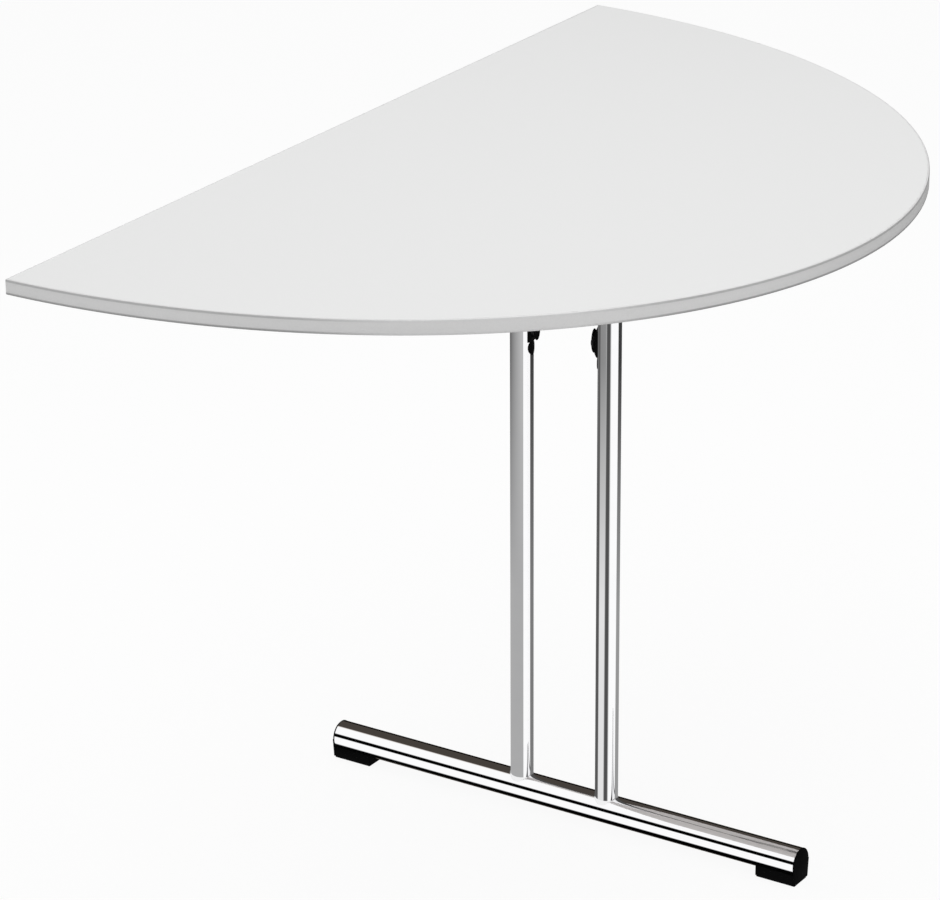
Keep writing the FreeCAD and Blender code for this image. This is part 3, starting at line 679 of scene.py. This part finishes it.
# %% [markdown]
# ## Floor
# A pale floor carries a soft shadow. The camera sees most of it as plain white, by a share of glow that
# only camera rays meet. From below, the floor's back face is clear, so that the fittings under the board
# can be looked at too.

# %% White floor
FLOOR_HALF = 30.0
FLOOR_TONE, FLOOR_ROUGHNESS = (0.9, 0.9, 0.9, 1), 0.9
GLOW_SHARE = 0.92


def mix_shader(tree, share, first, second):
    """The output of a Mix Shader node."""
    made = tree.nodes.new("ShaderNodeMixShader")
    for socket, value in enumerate((share, first, second)):
        feed(tree, value, made, socket)
    return made, "Shader"


floor_mesh = bpy.data.meshes.new("floor")
shape = bmesh.new()
bmesh.ops.create_grid(shape, x_segments=1, y_segments=1, size=FLOOR_HALF)
shape.to_mesh(floor_mesh)
shape.free()
floor = bpy.data.objects.new("floor", floor_mesh)
bpy.context.collection.objects.link(floor)
floor.visible_glossy = False

floor_finish = bpy.data.materials.new("floor_white")
floor_finish.use_nodes = True
tree = floor_finish.node_tree
shader = tree.nodes["Principled BSDF"]
feed(tree, FLOOR_TONE, shader, "Base Color")
feed(tree, FLOOR_ROUGHNESS, shader, "Roughness")
glow = tree.nodes.new("ShaderNodeEmission")
path = tree.nodes.new("ShaderNodeLightPath")
glow_share = math_node(tree, "MULTIPLY", (path, "Is Camera Ray"), GLOW_SHARE)
upper_side = mix_shader(tree, glow_share, (shader, "BSDF"), (glow, "Emission"))
clear = tree.nodes.new("ShaderNodeBsdfTransparent")
facing = tree.nodes.new("ShaderNodeNewGeometry")
both_sides = mix_shader(tree, (facing, "Backfacing"), upper_side, (clear, "BSDF"))
feed(tree, both_sides, tree.nodes["Material Output"], "Surface")
floor_mesh.materials.append(floor_finish)
print("floor:", 2 * FLOOR_HALF, "m square")

# %% [markdown]
# ## What the chrome sees
# Chrome has no colour of its own: it shows the room. The room lights everything evenly, but to glossy
# rays it is a studio with a dark line at the horizon, bright screens and darker gaps between them.
# Screens could be modelled as planes, but in the world they need no place on the floor. Directions are
# split into height and compass angle, and a ramp over the angle holds the screens and the gaps.

# %% Screens and gaps round the table
world = bpy.data.worlds.new("studio")
bpy.context.scene.world = world
world.use_nodes = True
tree = world.node_tree
way = tree.nodes.new("ShaderNodeTexCoord")
parts = tree.nodes.new("ShaderNodeSeparateXYZ")
feed(tree, (way, "Generated"), parts, "Vector")
compass = math_node(tree, "ARCTAN2", (parts, "Y"), (parts, "X"))
around = math_node(tree, "MULTIPLY_ADD", compass, 1 / (2 * math.pi), 0.5)


def screens(stops):
    """A ramp over the compass angle: (degrees, colour) stops from -180 to 180."""
    return ramp_node(tree, around, [((angle + 180) / 360, colour) for angle, colour in stops])


BELOW = ((-180, 0.42), (-174, 0.08), (-146, 0.08), (-140, 0.50), (-133, 1.0), (-62, 1.0), (-52, 0.19),
         (8, 0.19), (28, 0.08), (104, 0.08), (116, 0.30), (126, 1.0), (170, 1.0), (180, 0.42))
ABOVE = ((-180, 1.0), (5, 1.0), (18, 0.06), (92, 0.06), (106, 1.0), (180, 1.0))
below = screens([(angle, grey(level)) for angle, level in BELOW])
above = screens([(angle, grey(level)) for angle, level in ABOVE])
print("stops below and above the horizon:", len(BELOW), len(ABOVE))

# %% [markdown]
# The lower screens reach from just under the horizon to a steep angle, and the upper ones start some way
# above it. Smooth steps over the height of a direction fade them in and out.

# %% Heights of the screens
LOWER_START, LOWER_END = (0.03, 0.10), (0.765, 0.835)
UPPER_START = (0.28, 0.36)


def rise(limits, sign):
    """A smooth step over the height of a direction, upwards (1) or downwards (-1)."""
    return map_range(tree, math_node(tree, "MULTIPLY", (parts, "Z"), sign), *limits, smooth=True)


before_end = math_node(tree, "SUBTRACT", 1.0, rise(LOWER_END, -1))
lower_ring = math_node(tree, "MULTIPLY", rise(LOWER_START, -1), before_end)
under = math_node(tree, "MULTIPLY", below, lower_ring)
over = math_node(tree, "MULTIPLY", above, rise(UPPER_START, 1))
studio = math_node(tree, "ADD", under, over)
print("studio:", len(tree.nodes), "nodes so far")

# %% [markdown]
# Glossy rays get the studio, camera rays plain white, and all others an even light. The widest gap is a
# little warm.

# %% Studio as the world
LIGHT_LEVEL, SCREEN_LEVEL = 0.55, 1.1
WHITE, WARM = (1, 1, 1, 1), (1, 0.86, 0.74, 1)
sky = tree.nodes["Background"]
path = tree.nodes.new("ShaderNodeLightPath")
screen = math_node(tree, "MULTIPLY", studio, SCREEN_LEVEL)
plain = math_node(tree, "MAXIMUM", (path, "Is Camera Ray"), LIGHT_LEVEL)
feed(tree, mix_node(tree, "FLOAT", (path, "Is Glossy Ray"), plain, screen), sky, "Strength")
tint = screens([(-180, WHITE), (5, WHITE), (18, WARM), (92, WARM), (106, WHITE), (180, WHITE)])
feed(tree, mix_node(tree, "RGBA", (path, "Is Glossy Ray"), WHITE, tint), sky, "Color")
print("studio:", len(tree.nodes), "nodes")


# %% [markdown]
# ## Cards beside the uprights
# In the photograph the rear upright is plain grey on its left and the front one is striped, and both get
# darker below the board. A photographer gets that with cards close to the tubes. The inner side of a card
# fades from its own grey to a darker one near the top, most of all at the back. The outer sides on the
# left are white, which keeps the foot bright round the joints and hides each upright from the other.
# Those on the right are dark.

# %% Finish of a card
CARD_RADIUS = 13.2 * MM
FADE_LOW, FADE_HIGH = 0.26, 0.54
FADE_FRONT, FADE_BACK = -0.5 * CARD_RADIUS, 0.9 * CARD_RADIUS
DARK_OUTSIDE, WHITE_OUTSIDE = 0.08, 1.1


def card_finish(name, middle, tone, front_tone, back_tone, outside):
    """A glow for a card: one tone low down, two near the top, and another on its outer side."""
    material = bpy.data.materials.new(name)
    material.use_nodes = True
    tree = material.node_tree
    tree.nodes.remove(tree.nodes["Principled BSDF"])
    place = tree.nodes.new("ShaderNodeTexCoord")
    spot = tree.nodes.new("ShaderNodeSeparateXYZ")
    feed(tree, (place, "Object"), spot, "Vector")
    top_tone = map_range(tree, (spot, "Y"), middle + FADE_FRONT, middle + FADE_BACK, front_tone, back_tone)
    near_top = map_range(tree, (spot, "Z"), FADE_LOW, FADE_HIGH)
    inside = mix_node(tree, "FLOAT", near_top, tone, top_tone)
    facing = tree.nodes.new("ShaderNodeNewGeometry")
    glow = tree.nodes.new("ShaderNodeEmission")
    feed(tree, mix_node(tree, "FLOAT", (facing, "Backfacing"), inside, outside), glow, "Strength")
    feed(tree, (glow, "Emission"), tree.nodes["Material Output"], "Surface")
    return material


print("cards stand", round(CARD_RADIUS / MM, 1), "mm from the axes of the uprights")

# %% [markdown]
# Each card is an upright line that is spun part of the way round its tube, between two compass angles.
# Only glossy rays meet it, so it throws no shadow and the camera doesn't see it.

# %% Shape of a card
CARD_LOW, CARD_TOP = 0.0375, 0.70
CARD_STEPS = 48


def add_card(name, side, first_angle, last_angle, tone, front_tone, back_tone, outside=DARK_OUTSIDE,
             heights=(CARD_LOW, CARD_TOP)):
    """A card round part of an upright, between two compass angles in degrees."""
    middle = uprights[side][1]
    first = math.radians(first_angle)
    start = (CARD_RADIUS * math.cos(first), middle + CARD_RADIUS * math.sin(first))
    shape = bmesh.new()
    line = [shape.verts.new((*start, height)) for height in heights]
    bmesh.ops.spin(shape, geom=line + [shape.edges.new(line)], cent=(0, middle, 0), axis=(0, 0, 1),
                   angle=math.radians(last_angle) - first, steps=CARD_STEPS)
    mesh = bpy.data.meshes.new(name)
    shape.to_mesh(mesh)
    shape.free()
    mesh.materials.append(card_finish(name, middle, tone, front_tone, back_tone, outside))
    card = bpy.data.objects.new(name, mesh)
    bpy.context.collection.objects.link(card)
    card.visible_camera = card.visible_diffuse = card.visible_shadow = card.visible_transmission = False
    print(name, len(mesh.polygons), "faces")


# %% [markdown]
# The cards beside and between the tubes make what the photograph shows. Three more behind the rear upright
# give it stripes from the other side. A white collar just above the foot lets each upright run into the
# bright band of the foot.

# %% Cards and collars
COLLAR_LOW = 0.0325
BACK_STRIPES = (("bright", 78, 100, 0.95), ("dark", 62, 78, 0.12), ("middle", 33, 62, 0.60))

add_card("rear_left_card", "rear", 100, 218.5, tone=0.45, front_tone=0.53, back_tone=0.09,
         outside=WHITE_OUTSIDE)
for name, first_angle, last_angle, tone in BACK_STRIPES:
    add_card(f"rear_back_{name}_card", "rear", first_angle, last_angle, tone=tone, front_tone=tone,
             back_tone=tone, outside=WHITE_OUTSIDE)
add_card("front_left_card", "front", 160.4, 193.3, tone=0.86, front_tone=0.33, back_tone=0.24,
         outside=WHITE_OUTSIDE)
add_card("between_card", "front", 40, 148.4, tone=0.11, front_tone=0.15, back_tone=0.15,
         outside=WHITE_OUTSIDE)
add_card("rear_right_card", "rear", -101, -30, tone=0.22, front_tone=0.04, back_tone=0.04)
add_card("front_right_card", "front", -101, -30, tone=0.34, front_tone=0.05, back_tone=0.05)
for side in SIDES:
    add_card(f"{side}_collar", side, 115, 275, tone=1.0, front_tone=1.0, back_tone=1.0,
             outside=WHITE_OUTSIDE, heights=(COLLAR_LOW, CARD_LOW))

# %% [markdown]
# ## Lamps
# A large soft box hangs over the table, and a smaller one at the front left fills the edge of the board.
# Both are weak, because the room already gives half of the light and a pale laminate must not clip to
# white. For the same reason glossy rays don't meet them: seen from above, the laminate would mirror the
# lamp.

# %% Overhead and front soft boxes
TABLE_MIDDLE = Vector((0, 0, cad_high[2] / 2))


def add_lamp(name, size, watts, place):
    """A square area lamp that points at the middle of the table."""
    lamp = bpy.data.lights.new(name, "AREA")
    lamp.size = size
    lamp.energy = watts
    holder = bpy.data.objects.new(name, lamp)
    holder.location = place
    holder.rotation_euler = (TABLE_MIDDLE - Vector(place)).to_track_quat("-Z", "Y").to_euler()
    holder.visible_glossy = False
    bpy.context.collection.objects.link(holder)
    print(name, watts, "W at", place)


add_lamp("overhead", size=3.0, watts=45, place=(0, 0, 3.0))
add_lamp("front_fill", size=2.0, watts=7, place=(-2.1, -1.35, 1.5))
